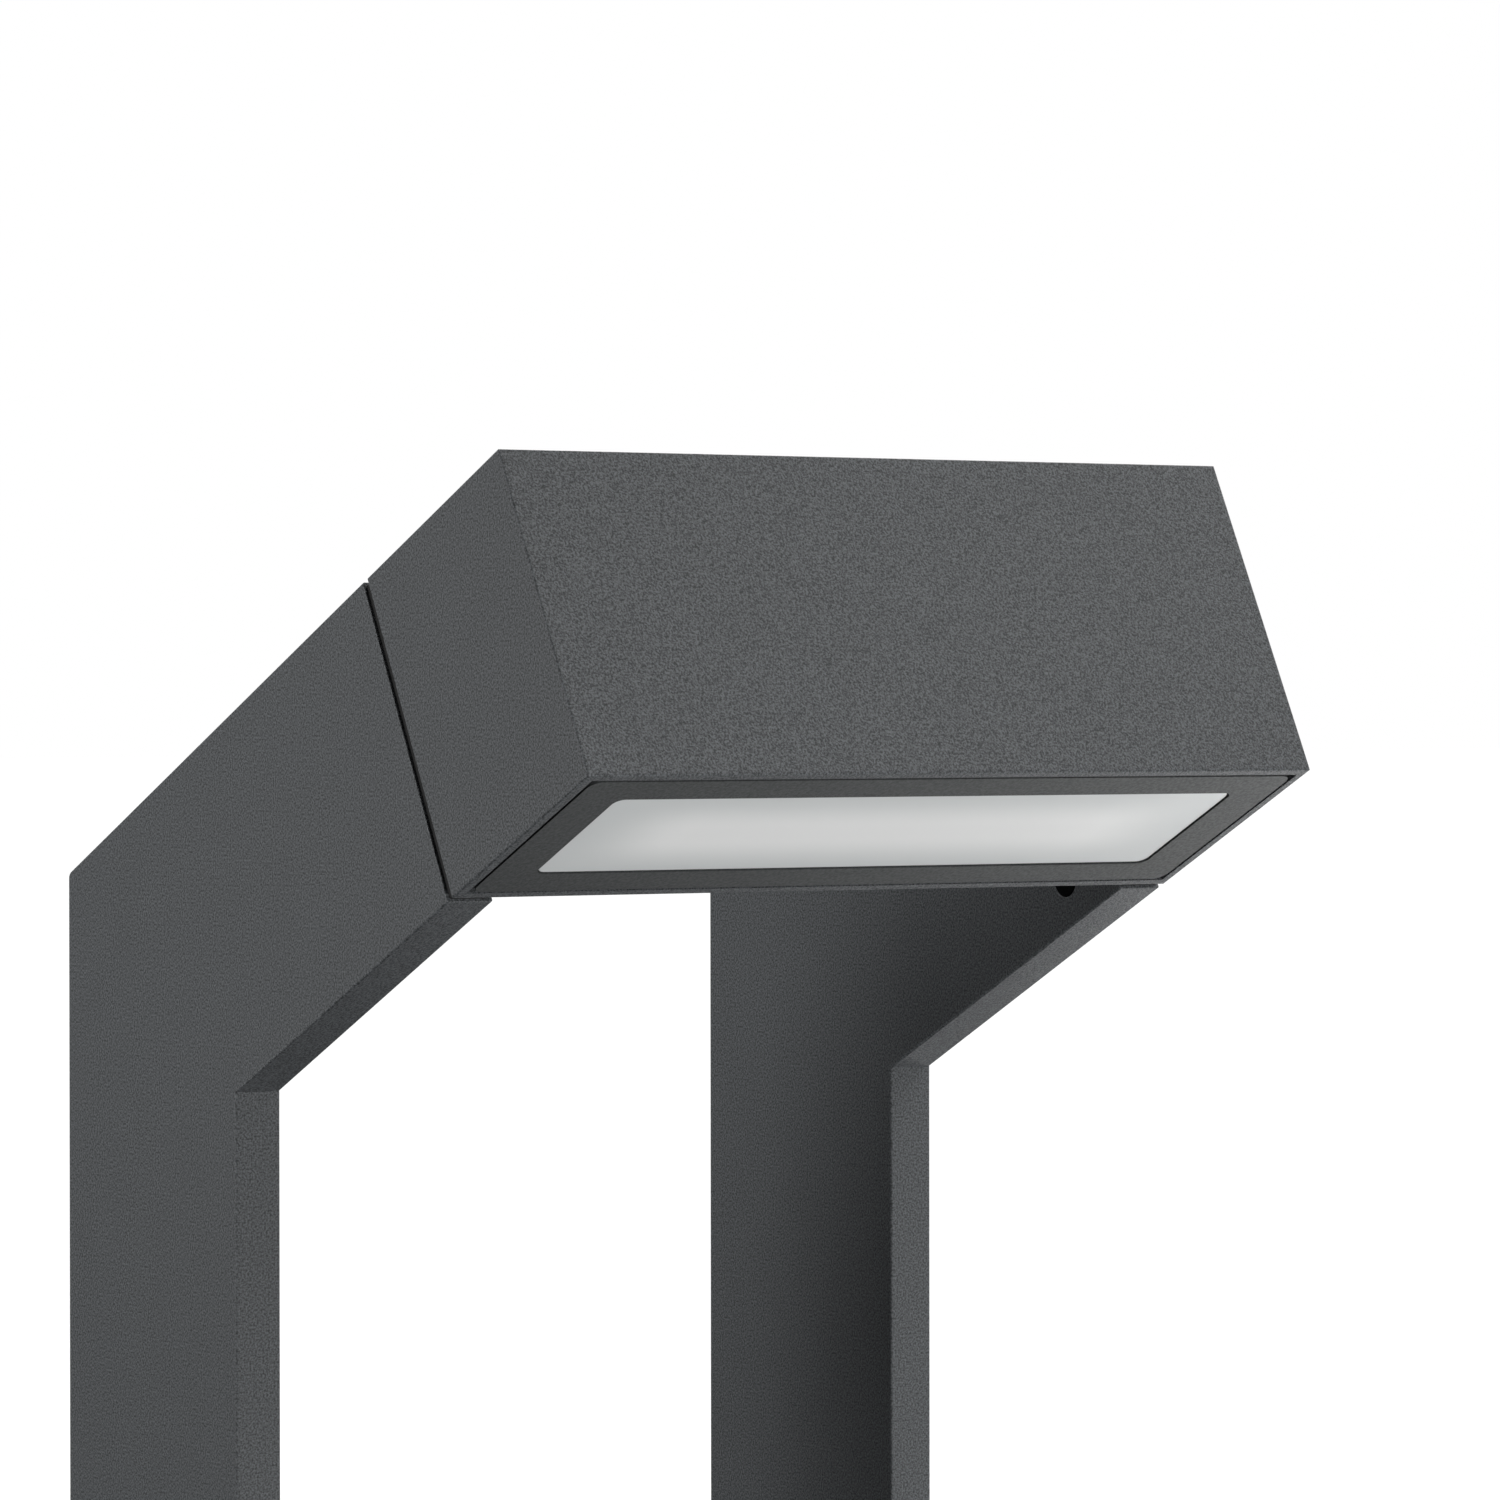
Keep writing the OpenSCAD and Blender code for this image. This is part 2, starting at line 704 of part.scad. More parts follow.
module reflector() {
    h = board_z - reflector_bottom;
    color("#f2f2ee") in_head() difference() {
        translate([0, head_mid_y, reflector_bottom]) plate(reflector_w, reflector_l, h, reflector_r);
        translate([0, head_mid_y, reflector_bottom - eps])
            plate(reflector_w - 2 * reflector_wall, reflector_l - 2 * reflector_wall,
                h - reflector_top_t + eps, reflector_r - reflector_wall);
        translate([0, head_mid_y, board_z - reflector_top_t - 1])
            plate(led_count * led_pitch + 4, slot_w, reflector_top_t + 2, 2);
        at_board_screws() translate([0, 0, -3]) rod(3 + 2 * slip_gap, 4);
    }
}

module led_board() {
    color("#e4e6e2") in_head() difference() {
        translate([0, head_mid_y, board_z]) plate(board_l, board_w, board_t, 2);
        at_board_screws() translate([0, 0, -1]) rod(3 + 2 * slip_gap, board_t + 2);
        // room for the carrier screws' heads, where a wide board or a short head brings them together
        at_posts() translate([0, 0, -carrier_t - board_t - 1]) rod(m4_head_d + 2 * slip_gap, board_t + 2);
    }
}

module leds() {
    color("#f4dc6a") in_head() for (i = [0:led_count - 1])
        translate([
            (i - (led_count - 1) / 2) * led_pitch - led_w / 2,
            head_mid_y - led_l / 2,
            board_z - led_t
        ]) cube([led_w, led_l, led_t]);
}

module led_carrier() {
    color("#a9acaf") in_head() difference() {
        translate([0, head_mid_y, carrier_z]) plate(carrier_w, carrier_l, carrier_t, 2);
        at_board_screws() translate([0, 0, board_t - 1]) rod(3 + 2 * thread_gap, carrier_t + 2);
        at_posts() translate([0, 0, -carrier_t - 1]) rod(4 + 2 * slip_gap, carrier_t + 2);
        at_driver_screws() translate([0, 0, -carrier_t - 1]) rod(3 + 2 * thread_gap, carrier_t + 2);
        translate([driver_l / 2 + lead_out + lead_r, head_mid_y, carrier_z - 1])
            rod(lead_hole_d, carrier_t + 2);
        at_earth_screw() translate([0, 0, -carrier_t - 1]) rod(4 + 2 * thread_gap, carrier_t + 2);
    }
}

module board_screws() {
    color("#9a9c9e") in_head() at_board_screws() translate([0, 0, -reflector_top_t]) mirror([0, 0, 1])
        pan_screw(3, m3_head_d, m3_head_h, board_screw_len);
}

module carrier_screws() {
    color("#9a9c9e") in_head() at_posts() translate([0, 0, -carrier_t]) mirror([0, 0, 1])
        pan_screw(4, m4_head_d, m4_head_h, carrier_screw_len);
}

module at_driver_screws() {
    for (x = [-1, 1])
        translate([x * (driver_l / 2 + ear_l / 2), head_mid_y, driver_z]) children();
}

module driver() {
    color("#e9e9e6") in_head() difference() {
        union() {
            translate([0, head_mid_y, driver_z]) rounded_block(driver_l, driver_w, driver_h, 1, 2);
            translate([0, head_mid_y, driver_z]) plate(driver_l + 2 * ear_l, ear_w, ear_t, 2);
        }
        at_driver_screws() translate([0, 0, -1]) rod(3 + 2 * slip_gap, ear_t + 2);
    }
}

module driver_screws() {
    color("#9a9c9e") in_head() at_driver_screws() translate([0, 0, ear_t])
        pan_screw(3, m3_head_d, m3_head_h, driver_screw_len);
}

// Output leads, over the driver's ear and down through the carrier to the board
module driver_leads() {
    lead_z = driver_z + 2 * lead_r;
    color("#2a2a2a") in_head() for (y = [-1, 1])
        translate([driver_l / 2, head_mid_y + y * lead_pitch / 2, lead_z]) {
            rotate([0, 90, 0]) rod(lead_d, lead_out);
            translate([lead_out, 0, -lead_r]) rotate([90, 0, 0]) rotate_extrude(angle = 90)
                translate([lead_r, 0]) circle(d = lead_d);
            translate([lead_out + lead_r, 0, carrier_z - lead_z]) rod(lead_d, lead_z - lead_r - carrier_z);
        }
}

// Earth terminal on the carrier, in line with the driver's inlet end
module at_earth_screw() {
    translate([-earth_x, head_mid_y - earth_y, driver_z]) children();
}

module earth_lug() {
    color("#c8b26a") in_head() at_earth_screw() difference() {
        union() {
            rod(lug_d, lug_t);
            translate([0, -2, 0]) cube([6, 4, lug_t]);
            translate([5, 0, barrel_d / 2]) rotate([0, 90, 0]) rod(barrel_d, 4);
        }
        translate([0, 0, -1]) rod(4 + 2 * slip_gap, 3);
        translate([7, 0, barrel_d / 2]) rotate([0, 90, 0]) rod(lead_d + 2 * thread_gap, 4);
    }
}

module earth_screw() {
    color("#c8b26a") in_head() at_earth_screw() translate([0, 0, lug_t])
        pan_screw(4, m4_head_d, m4_head_h, carrier_t);
}

module earth_wire() {
    start_x = -earth_x + 7;
    color("#7fae3a") in_head() translate([start_x, head_mid_y - earth_y, driver_z + barrel_d / 2])
        rotate([0, 90, 0]) rod(lead_d, -driver_l / 2 - start_x);
}

// ---------- internal cable ----------

// Point of the head's frame, given in the frame of the whole light
function head_point(x, y, z) =
    let (back = y - arm_l - seam_gap, up = z - leg_d)
    [
        x,
        leg_rear_y + back * cos(arm_tilt) + up * sin(arm_tilt),
        bend_z - back * sin(arm_tilt) + up * cos(arm_tilt)
    ];

// Route of the cable: junction box, up the left leg, round its bend, into the head, to the driver
function cable_route() =
    let (
        step = 15,
        turn = 90 - arm_tilt,
        low_z = gland_z + cable_r,
        bend_start_z = bend_z - leg_d / 2 * tan(mitre) - cable_bend_r * tan(turn / 2),
        head_y = -head_wall - 1
    )
    concat(
        [[jacket_end, leg_mid_y, gland_z]],
        [for (a = [270:-step:180])
            [cable_x + cable_r + cable_r * cos(a), leg_mid_y, low_z + cable_r * sin(a)]],
        [for (i = [0:5])
            let (a = turn * i / 5, r = cable_bend_r)
            [cable_x, leg_mid_y - r + r * cos(a), bend_start_z + r * sin(a)]],
        [for (a = [180:-step:90])
            head_point(cable_x + cable_r + cable_r * cos(a), head_y - cable_r * sin(a), leg_d / 2)],
        [head_point(-driver_l / 2, head_y - cable_r, leg_d / 2)]
    );

module internal_cable() {
    color("#202020") tube(cable_route(), cable_d, 12);
}

// ---------- foot ----------

module at_foot_screws() {
    for (side = [-1, 1], y = [-tab_y, tab_y])
        translate([side * light_w / 2, y, tab_screw_z]) rotate([0, side * 90, 0]) children();
}

module foot_housing() {
    color("#4b4d4f") difference() {
        intersection() {
            translate([0, 0, -foot_h]) rounded_block(light_w, foot_d, 2 * foot_h, edge_r, foot_r);
            translate([-far / 2, -far / 2, 0]) cube(far);
        }
        translate([0, 0, -eps])
            plate(
                light_w - 2 * foot_wall, foot_d - 2 * foot_wall,
                foot_h - foot_top + eps, max(foot_r - foot_wall, 0.5)
            );
        at_foot_ends() tenon_bolt_hole(foot_top);
        translate([cable_x, leg_mid_y, foot_h - foot_top - 1]) rod(cable_hole_d, foot_top + 2);
        at_foot_screws() csk_hole(4, lock_head_d, foot_wall + 1);
        translate([-drain_w / 2, foot_d / 2 - foot_wall - 1, -eps]) cube([drain_w, foot_wall + 2, drain_h]);
    }
}

module at_anchors() {
    for (x = [-1, 1], y = [-1, 1]) translate([x * anchor_x / 2, y * anchor_y / 2, 0]) children();
}

module mounting_plate() {
    color("#a4a8ab") difference() {
        union() {
            plate(plate_w, plate_d, plate_t, plate_r);
            for (side = [-1, 1], y = [-tab_y, tab_y])
                translate([side * (plate_w - tab_t) / 2 - tab_t / 2, y - tab_w / 2, 0])
                    cube([tab_t, tab_w, tab_h]);
        }
        at_anchors() translate([0, 0, -1]) rod(anchor_d, plate_t + 2);
        translate([0, supply_y, -1]) rod(supply_d + 2 * grommet_wall, plate_t + 2);
        at_foot_screws() translate([0, 0, -tab_screw_len - 2]) rod(4 + 2 * thread_gap, tab_screw_len);
        at_box_screws() translate([0, 0, -jbox_ear_t - plate_t - 1]) rod(4 + 2 * thread_gap, plate_t + 2);
    }
}

module cable_grommet() {
    body_d = supply_d + 2 * grommet_wall;
    color("#1e1e1e") translate([0, supply_y, 0]) difference() {
        union() {
            rod(body_d, plate_t + eps);
            translate([0, 0, plate_t]) rod(body_d + 2 * grommet_flange, grommet_t);
        }
        translate([0, 0, -1]) rod(supply_d, plate_t + grommet_t + 2);
    }
}

module foot_screws() {
    color("#1c1c1d") at_foot_screws() csk_screw(4, lock_head_d, tab_screw_len);
}

// ---------- junction box ----------

// The box's middle, on the mounting plate
module at_box() {
    translate([jbox_x, leg_mid_y, plate_t]) children();
}

module at_box_screws() {
    for (side = [-1, 1])
        translate([
            jbox_x + side * (jbox_w / 2 - 11),
            leg_mid_y - side * (jbox_d / 2 + jbox_ear / 2),
            plate_t + jbox_ear_t
        ]) children();
}

module at_lid_screws() {
    in = jbox_wall + jbox_post / 2 - 0.5;
    for (x = [-1, 1], y = [-1, 1])
        translate([x * (jbox_w / 2 - in), y * (jbox_d / 2 - in), jbox_h]) children();
}

// Outlet on the box's left face and inlet on its front face: z out of the face
module at_outlet() {
    translate([jbox_x - jbox_w / 2, leg_mid_y, gland_z]) rotate([0, -90, 0]) children();
}

module at_inlet() {
    translate([inlet_x, leg_mid_y - jbox_d / 2, gland_z]) rotate([90, 0, 0]) children();
}

module junction_box() {
    color("#3a3c3e") difference() {
        union() {
            at_box() difference() {
                plate(jbox_w, jbox_d, jbox_h, jbox_r);
                translate([0, 0, jbox_floor])
                    plate(jbox_w - 2 * jbox_wall, jbox_d - 2 * jbox_wall, jbox_h, 1);
            }
            at_box() intersection() {
                plate(jbox_w, jbox_d, jbox_h, jbox_r);
                at_lid_screws() translate([-jbox_post / 2, -jbox_post / 2, -jbox_h])
                    cube([jbox_post, jbox_post, jbox_h]);
            }
            at_box_screws() translate([-5, -jbox_ear / 2 - 1, -jbox_ear_t])
                cube([10, jbox_ear + 2, jbox_ear_t]);
        }
        at_box() at_lid_screws() translate([0, 0, -9]) rod(2.5 + 2 * thread_gap, 10);
        at_box_screws() translate([0, 0, -jbox_ear_t - 1]) rod(4 + 2 * slip_gap, jbox_ear_t + 2);
        at_outlet() translate([0, 0, -jbox_wall - 1]) rod(gland_thread_d + 2 * thread_gap, jbox_wall + 2);
        at_inlet() translate([0, 0, -jbox_wall - 1]) rod(gland_thread_d + 2 * thread_gap, jbox_wall + 2);
    }
}

module junction_box_seal() {
    color("#1a1a1a") at_box() translate([0, 0, jbox_h]) difference() {
        ring(jbox_w - 1, jbox_d - 1, jbox_seal_t, jbox_r, 2);
        translate([0, 0, -jbox_h]) at_lid_screws() translate([0, 0, -1])
            rod(2.5 + 2 * slip_gap, jbox_seal_t + 2);
    }
}

module junction_box_lid() {
    color("#3a3c3e") at_box() translate([0, 0, jbox_h + jbox_seal_t]) difference() {
        plate(jbox_w, jbox_d, jbox_lid_t, jbox_r);
        translate([0, 0, -jbox_h]) at_lid_screws() translate([0, 0, -1])
            rod(2.5 + 2 * slip_gap, jbox_lid_t + 2);
    }
}

module lid_screws() {
    color("#9a9c9e") at_box() translate([0, 0, jbox_seal_t + jbox_lid_t]) at_lid_screws()
        pan_screw(2.5, 4.4, 1.4, lid_screw_len);
}

module box_screws() {
    color("#9a9c9e") at_box_screws() pan_screw(4, m4_head_d, m4_head_h, jbox_screw_len);
}

// Gland: thread through the wall, hexagon against it, round cap nut outside
module gland(hole_d) {
    color("#26282a") difference() {
        union() {
            translate([0, 0, -jbox_wall - gland_inner_l])
                rod(gland_thread_d, jbox_wall + gland_inner_l + eps);
            cylinder(d = gland_hex_d, h = gland_hex_t, $fn = 6);
            translate([0, 0, gland_hex_t]) rod(gland_nut_d, gland_nut_l);
        }
        translate([0, 0, -far / 2]) rod(hole_d, far);
    }
}

module outlet_gland() { at_outlet() gland(cable_d + 2 * thread_gap); }
module inlet_gland() { at_inlet() gland(supply_d - 1); }

module locknut() {
    translate([0, 0, -jbox_wall - locknut_t]) difference() {
        cylinder(d = gland_hex_d, h = locknut_t, $fn = 6);
        translate([0, 0, -1]) rod(gland_thread_d + 2 * thread_gap, locknut_t + 2);
    }
}

module gland_locknuts() {
    color("#303234") {
        at_outlet() locknut();
        at_inlet() locknut();
    }
}

// ---------- terminals ----------

module at_terminals() {
    translate([terminal_x, leg_mid_y, plate_t + jbox_floor]) children();
}

module terminal_block() {
    color("#ecebe4") at_terminals() difference() {
        translate([0, -terminal_d / 2, 0]) cube([terminal_w, terminal_d, terminal_h]);
        for (i = [-1:1]) {
            translate([-1, i * pole_pitch, pole_z]) rotate([0, 90, 0]) rod(pole_d, terminal_w + 2);
            for (x = [5, terminal_w - 5])
                translate([x, i * pole_pitch, pole_z]) rod(3 + 2 * thread_gap, terminal_h);
        }
    }
}

module terminal_screws() {
    color("#b59a52") at_terminals() for (i = [-1:1], x = [5, terminal_w - 5])
        translate([x, i * pole_pitch, terminal_h - 1]) rotate([0, 0, 20]) difference() {
            translate([0, 0, -3.4]) rod(3, 3.4);
            translate([-2, -0.3, -0.8]) cube([4, 0.6, 1]);
        }
}

// Three cores from the jacket's end into the outgoing side of the block
module cable_cores() {
    run = terminal_x - jacket_end;
    color("#8c5a3a") for (i = [-1:1])
        tube([
            for (p = [[0, core_pitch], [2, core_pitch], [run - 2, pole_pitch], [run + core_in, pole_pitch]])
                [jacket_end + p[0], leg_mid_y + i * p[1], gland_z]
        ], core_d, 8);
}

left_leg();
right_leg();
head_tenon_left_top();
head_tenon_left_bottom();
head_tenon_right_top();
head_tenon_right_bottom();
foot_tenon_left_front();
foot_tenon_left_rear();
foot_tenon_right_front();
foot_tenon_right_rear();
head_tenon_bolts();
foot_tenon_bolts();
head_lock_screws();
foot_lock_screws();
head_seam_gasket_left();
head_seam_gasket_right();
foot_seam_gasket_left();
foot_seam_gasket_right();
head_housing();
cover_frame();
frame_gasket();
frame_screws();
diffuser();
diffuser_gasket();
diffuser_clip_left();
diffuser_clip_right();
clip_screws();
reflector();
led_board();
leds();
led_carrier();
board_screws();
carrier_screws();
driver();
driver_screws();
driver_leads();
earth_lug();
earth_screw();
earth_wire();
internal_cable();
foot_housing();
mounting_plate();
cable_grommet();
foot_screws();
junction_box();
junction_box_seal();
junction_box_lid();
lid_screws();
box_screws();
outlet_gland();
inlet_gland();
gland_locknuts();
terminal_block();
terminal_screws();
cable_cores();
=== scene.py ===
"""Two-legged path light in anthracite powder coat: its looks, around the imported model."""

import json
import math

import bmesh
import bpy
from mathutils import Matrix, Vector


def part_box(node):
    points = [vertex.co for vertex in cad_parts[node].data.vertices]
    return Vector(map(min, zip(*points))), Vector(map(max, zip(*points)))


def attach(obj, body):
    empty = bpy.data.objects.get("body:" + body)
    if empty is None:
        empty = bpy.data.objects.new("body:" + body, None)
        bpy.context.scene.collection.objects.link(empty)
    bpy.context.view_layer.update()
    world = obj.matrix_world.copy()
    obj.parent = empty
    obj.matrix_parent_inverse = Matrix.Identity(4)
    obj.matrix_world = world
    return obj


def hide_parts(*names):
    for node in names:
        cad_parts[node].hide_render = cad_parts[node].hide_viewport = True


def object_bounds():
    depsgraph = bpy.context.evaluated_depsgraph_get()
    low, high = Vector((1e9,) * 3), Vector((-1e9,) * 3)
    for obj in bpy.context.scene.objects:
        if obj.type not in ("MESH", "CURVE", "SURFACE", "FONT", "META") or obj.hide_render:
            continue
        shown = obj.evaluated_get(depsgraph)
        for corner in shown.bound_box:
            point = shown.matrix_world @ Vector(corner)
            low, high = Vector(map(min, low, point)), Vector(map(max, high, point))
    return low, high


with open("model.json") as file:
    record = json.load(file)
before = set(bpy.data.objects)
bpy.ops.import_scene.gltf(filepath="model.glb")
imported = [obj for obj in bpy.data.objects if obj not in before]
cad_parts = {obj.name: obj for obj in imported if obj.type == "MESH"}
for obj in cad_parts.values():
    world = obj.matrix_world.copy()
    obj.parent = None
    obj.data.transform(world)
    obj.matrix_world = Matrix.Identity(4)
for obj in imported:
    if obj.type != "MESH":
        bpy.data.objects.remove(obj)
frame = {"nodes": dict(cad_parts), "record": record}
cad_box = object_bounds()
scene = bpy.context.scene
MM = 0.001

# ---------- the light's own sizes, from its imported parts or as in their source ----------

leg_low, leg_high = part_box("left_leg")
foot_low, foot_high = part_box("foot_housing")
HALF_W = -leg_low.x
LEG_T = leg_high.x - leg_low.x
REAR_Y = leg_high.y
LEG_BOTTOM = leg_low.z
ARM_TILT = math.radians(26.6)
LEG_D = 80 * MM
ARM_L = 153 * MM
SEAM = 2 * MM
HEAD_L = 61.5 * MM
BEND_Z = leg_high.z - ARM_L * math.sin(ARM_TILT)
HEAD_WALL = 2.4 * MM
FRAME_GAP = 0.8 * MM
FRAME_W = 2 * (HALF_W - HEAD_WALL - FRAME_GAP)
FRAME_L = HEAD_L - 2 * (HEAD_WALL + FRAME_GAP)
BORDER_END = 11.3 * MM
BORDER_SIDE = 8.7 * MM
WINDOW_W = FRAME_W - 2 * BORDER_END
WINDOW_L = FRAME_L - 2 * BORDER_SIDE
EDGE_R = 0.6 * MM


def arm_point(x, y, z):
    """Point of the arm's frame: y runs back down along the arm, z out of its upper face."""
    return Vector((
        x,
        REAR_Y + y * math.cos(ARM_TILT) + z * math.sin(ARM_TILT),
        BEND_Z - y * math.sin(ARM_TILT) + z * math.cos(ARM_TILT),
    ))


def head_point(x, y, z):
    """Point of the head's frame: origin on its rear lower edge, -y along the head, z up through it."""
    return arm_point(x, y - ARM_L - SEAM, z - LEG_D)


HEAD_MATRIX = Matrix.Translation(head_point(0, 0, 0)) @ Matrix.Rotation(-ARM_TILT, 4, "X")

# ---------- camera and studio ----------


def make_camera():
    """A long lens in front and to the left, just above the height of the legs' bend."""
    data = bpy.data.cameras.new("camera")
    data.sensor_width = 36
    data.lens = 165.0
    data.clip_start = 0.05
    data.clip_end = 200
    camera = bpy.data.objects.new("camera", data)
    camera.location = Vector((-0.9106, REAR_Y - 1.4636, BEND_Z + 0.0409))
    camera.rotation_euler = tuple(math.radians(a) for a in (89.615, 0.074, -34.646))
    scene.collection.objects.link(camera)
    scene.camera = camera


def softbox(name, place, aim, size, watts):
    """A round studio softbox. It lights the object and is not seen itself."""
    data = bpy.data.lights.new(name, "AREA")
    data.shape = "DISK"
    data.size = size
    data.energy = watts
    box = bpy.data.objects.new(name, data)
    box.location = place
    box.rotation_euler = (Vector(place) - Vector(aim)).to_track_quat("Z", "Y").to_euler()
    box.visible_camera = False
    scene.collection.objects.link(box)


def make_softboxes():
    """Soft light, most of it from behind and from the right. No box is above 12 W, because stronger
    ones wash out the right-facing sides in views from the front right."""
    middle = (0, -0.03, 0.42)
    head = (0, -0.11, 0.5)
    legs = (0.1, 0.03, 0.4)
    softbox("rear_right_high", (0.9, 0.87, 1.693), middle, 1.0, 12)
    softbox("rear_right_low", (1.268, 1.238, 0.577), middle, 1.0, 12)
    softbox("rear_high", (0, 1.243, 1.693), middle, 1.0, 12)
    softbox("right_high", (1.273, -0.03, 1.693), middle, 1.0, 12)
    softbox("front_right_high", (0.9, -0.93, 1.693), middle, 1.0, 8.4)
    softbox("rear_left_high", (-0.9, 0.87, 1.693), middle, 1.0, 2.3)
    softbox("right_low", (1.0, -0.2, 0.1), head, 0.5, 5.2)
    softbox("right_rear_low", (0.8, 0.2, 0.05), head, 0.4, 4)
    softbox("front_low", (0, -1.0, 0.08), head, 0.4, 8.7)
    softbox("left_rear", (-1.0, 0.35, 0.5), legs, 0.4, 3.7)
    softbox("left_high", (-1.0, 0.1, 0.95), (0, 0, 0.45), 0.5, 4)


def make_floor_light(floor):
    """Light from straight above for the floor alone, so that it stays as pale as the air behind it."""
    data = bpy.data.lights.new("floor_light", "SUN")
    data.energy = 3.7
    data.angle = math.radians(50)
    sun = bpy.data.objects.new("floor_light", data)
    scene.collection.objects.link(sun)
    lit = bpy.data.collections.new("floor_only")
    lit.objects.link(floor)
    sun.light_linking.receiver_collection = lit


def make_world():
    """White to look at. The object's light comes from the softboxes."""
    world = bpy.data.worlds.new("studio_air")
    world.use_nodes = True
    scene.world = world
    tree = world.node_tree
    ray = tree.nodes.new("ShaderNodeLightPath")
    background = tree.nodes["Background"]
    background.inputs["Color"].default_value = (1, 1, 1, 1)
    tree.links.new(ray.outputs["Is Camera Ray"], background.inputs["Strength"])


# ---------- materials ----------

CLOUD_MM = 14
# widths of the painted shade at the diffuser's rim, across its ends and along its sides
END_SHADE_FADE = 30 * MM
SIDE_SHADE_FADE = 16 * MM


def linear(code, alpha=1.0):
    """An sRGB hex colour as linear RGBA."""
    channels = [int(code[i:i + 2], 16) / 255 for i in (1, 3, 5)]
    return (*(c / 12.92 if c <= 0.04045 else ((c + 0.055) / 1.055) ** 2.4 for c in channels), alpha)


def add(tree, kind, inputs=None, **settings):
    """Adds a node with its settings. Each input gets a value, or a link from another node's output."""
    made = tree.nodes.new(kind)
    for name, value in settings.items():
        setattr(made, name, value)
    for name, value in (inputs or {}).items():
        socket = made.inputs[name]
        if isinstance(value, bpy.types.NodeSocket):
            tree.links.new(value, socket)
        else:
            socket.default_value = value
    return made


def new_material(name):
    """An empty material, its node tree and the object coordinates of what it is on, in metres."""
    material = bpy.data.materials.new(name)
    material.use_nodes = True
    tree = material.node_tree
    tree.nodes.clear()
    place = add(tree, "ShaderNodeTexCoord").outputs["Object"]
    return material, tree, place


def close(material, tree, shader):
    """Ends a tree in its output and returns the material."""
    out = add(tree, "ShaderNodeOutputMaterial", {"Surface": shader})
    out.target = "ALL"
    return material


def per_metre(size_mm):
    """Noise scale for a pattern whose grains are this many millimetres across."""
    return 1000 / size_mm


def ramp(tree, factor, stops):
    """Colours over a factor, from (position, colour) stops."""
    made = add(tree, "ShaderNodeValToRGB", {"Fac": factor})
    band = made.color_ramp.elements
    while len(band) < len(stops):
        band.new(0.5)
    for element, (at, colour) in zip(band, stops):
        element.position = at
        element.color = colour
    return made.outputs["Color"]


def coat(name, dark, light, grain_mm, bump_mm, rough, spread=0.18):
    """Fine-textured polyester powder coat: fused grains give a sandy, dull face with small glints, which
    come from their roughness and bumps and are also painted into their lighter tone.

    The real grains are about 0.3 mm across. They are drawn coarser, so that they show at all."""
    material, tree, place = new_material(name)
    grains = add(tree, "ShaderNodeTexNoise", {
        "Vector": place, "Scale": per_metre(grain_mm), "Detail": 2.0, "Roughness": 0.6})
    clouds = add(tree, "ShaderNodeTexNoise", {
        "Vector": place, "Scale": per_metre(CLOUD_MM), "Detail": 1.0, "Roughness": 0.5})
    # the light colour is partly the grains' own tone and partly painted glints
    tone = ramp(tree, grains.outputs["Fac"], [(0.5 - spread, linear(dark)), (0.5 + spread, linear(light))])
    cloudy = add(tree, "ShaderNodeMapRange", {
        "Value": clouds.outputs["Fac"], "To Min": 0.95, "To Max": 1.05}).outputs[0]
    patchy = add(tree, "ShaderNodeHueSaturation", {"Color": tone, "Value": cloudy})
    dull = add(tree, "ShaderNodeMapRange", {
        "Value": grains.outputs["Fac"], "From Min": 0.3, "From Max": 0.7,
        "To Min": rough + 0.06, "To Max": rough - 0.06})
    bump = add(tree, "ShaderNodeBump", {
        "Height": grains.outputs["Fac"], "Strength": 1.0, "Distance": bump_mm * MM})
    paint = add(tree, "ShaderNodeBsdfPrincipled", {
        "Base Color": patchy.outputs["Color"], "Roughness": dull.outputs[0],
        "Specular IOR Level": 0.5, "IOR": 1.5, "Normal": bump.outputs["Normal"]})
    return close(material, tree, paint.outputs[0])


def plastic(name, dark, light, rough, grain_mm=0.6, bump_mm=0.01):
    """Moulded plastic: an even colour with a faint spark-eroded grain."""
    material, tree, place = new_material(name)
    grains = add(tree, "ShaderNodeTexNoise", {"Vector": place, "Scale": per_metre(grain_mm), "Detail": 2.0})
    tone = ramp(tree, grains.outputs["Fac"], [(0.3, linear(dark)), (0.7, linear(light))])
    bump = add(tree, "ShaderNodeBump", {
        "Height": grains.outputs["Fac"], "Strength": 0.6, "Distance": bump_mm * MM})
    body = add(tree, "ShaderNodeBsdfPrincipled", {
        "Base Color": tone, "Roughness": rough, "IOR": 1.5, "Normal": bump.outputs["Normal"]})
    return close(material, tree, body.outputs[0])


def rubber(name, dark, light):
    """Moulded EPDM or silicone: dull, with a fine dusty mottle."""
    return plastic(name, dark, light, 0.85, grain_mm=1.2, bump_mm=0.02)


def metal(name, dark, light, rough, grain_mm, stretch=(1, 1, 1), bump_mm=0.004):
    """Bare or plated metal: brushed where the grain is stretched, spangled where it is coarse."""
    material, tree, place = new_material(name)
    stretched = add(tree, "ShaderNodeMapping", {"Vector": place, "Scale": stretch})
    grains = add(tree, "ShaderNodeTexNoise", {
        "Vector": stretched.outputs["Vector"], "Scale": per_metre(grain_mm), "Detail": 3.0})
    tone = ramp(tree, grains.outputs["Fac"], [(0.3, linear(dark)), (0.7, linear(light))])
    dull = add(tree, "ShaderNodeMapRange", {
        "Value": grains.outputs["Fac"], "To Min": rough - 0.08, "To Max": rough + 0.08})
    bump = add(tree, "ShaderNodeBump", {
        "Height": grains.outputs["Fac"], "Strength": 0.5, "Distance": bump_mm * MM})
    face = add(tree, "ShaderNodeBsdfPrincipled", {
        "Base Color": tone, "Metallic": 1.0, "Roughness": dull.outputs[0], "Normal": bump.outputs["Normal"]})
    return close(material, tree, face.outputs[0])


